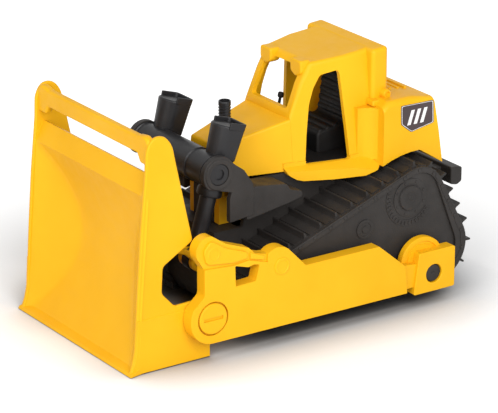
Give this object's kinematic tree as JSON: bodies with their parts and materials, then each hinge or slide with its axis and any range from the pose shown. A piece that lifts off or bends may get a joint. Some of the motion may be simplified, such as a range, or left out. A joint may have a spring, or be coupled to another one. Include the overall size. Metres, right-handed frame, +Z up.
{
  "type": "toy bulldozer",
  "caption": "Toy bulldozer with a high-drive track on each side, open cab, and a wide curved blade that lifts on two push arms with sliding cylinder rods.",
  "frame": {"origin": "on the floor below the middle of the toy's bounding box", "axes": "+Z up, the blade faces -Y, +X is the driver's left"},
  "size_m": [0.1146, 0.213, 0.125],
  "materials": {
    "yellow_plastic": "satin moulded plastic",
    "black_plastic": "fine grained moulded plastic",
    "plated_steel": "zinc plated"
  },
  "bodies": {
    "chassis": {"body_shell": "yellow_plastic", "chassis": "black_plastic", "cab_interior": "black_plastic", "exhaust_stack": "black_plastic", "rear_hitch": "black_plastic", "lift_cylinder_pair": "black_plastic", "side_frame_left": "black_plastic", "track_left": "black_plastic", "track_inner_left": "black_plastic", "arm_pivot_pin_left": "black_plastic", "screw_front_left": "plated_steel", "screw_rear_left": "plated_steel", "side_frame_right": "black_plastic", "track_right": "black_plastic", "track_inner_right": "black_plastic", "arm_pivot_pin_right": "black_plastic", "screw_front_right": "plated_steel", "screw_rear_right": "plated_steel"},
    "blade_assembly": {"blade": "yellow_plastic", "push_arm_left": "yellow_plastic", "push_arm_right": "yellow_plastic", "blade_pin_left": "yellow_plastic", "blade_pin_right": "yellow_plastic", "rod_pin_left": "plated_steel", "rod_pin_right": "plated_steel"},
    "rod_left": {"lift_rod_left": "black_plastic"},
    "rod_right": {"lift_rod_right": "black_plastic"},
    "front_axle": {"axle_front": "plated_steel", "wheel_front_left": "black_plastic", "wheel_front_right": "black_plastic"},
    "rear_axle": {"axle_rear": "plated_steel", "wheel_rear_left": "black_plastic", "wheel_rear_right": "black_plastic"}
  },
  "joints": [
    {"name": "blade_lift", "type": "hinge", "parent": "chassis", "child": "blade_assembly", "pos_m": [0, 0.0619, 0.0162], "axis": [-1, 0, 0], "range_deg": [0, 12]},
    {"name": "rod_left_slide", "type": "slide", "parent": "chassis", "child": "rod_left", "axis": [0, 0.2867, 0.958], "range_m": [0, 0.025]},
    {"name": "rod_right_slide", "type": "slide", "parent": "chassis", "child": "rod_right", "axis": [0, 0.2867, 0.958], "range_m": [0, 0.025]},
    {"name": "front_axle_spin", "type": "hinge", "parent": "chassis", "child": "front_axle", "pos_m": [0, -0.0225, 0.013], "axis": [1, 0, 0], "continuous": true},
    {"name": "rear_axle_spin", "type": "hinge", "parent": "chassis", "child": "rear_axle", "pos_m": [0, 0.0515, 0.013], "axis": [1, 0, 0], "continuous": true}
  ],
  "couplings": [
    {"joint": "rod_left_slide", "follows": "blade_lift", "m_per_rad": 0.11762},
    {"joint": "rod_right_slide", "follows": "blade_lift", "m_per_rad": 0.11762}
  ]
}
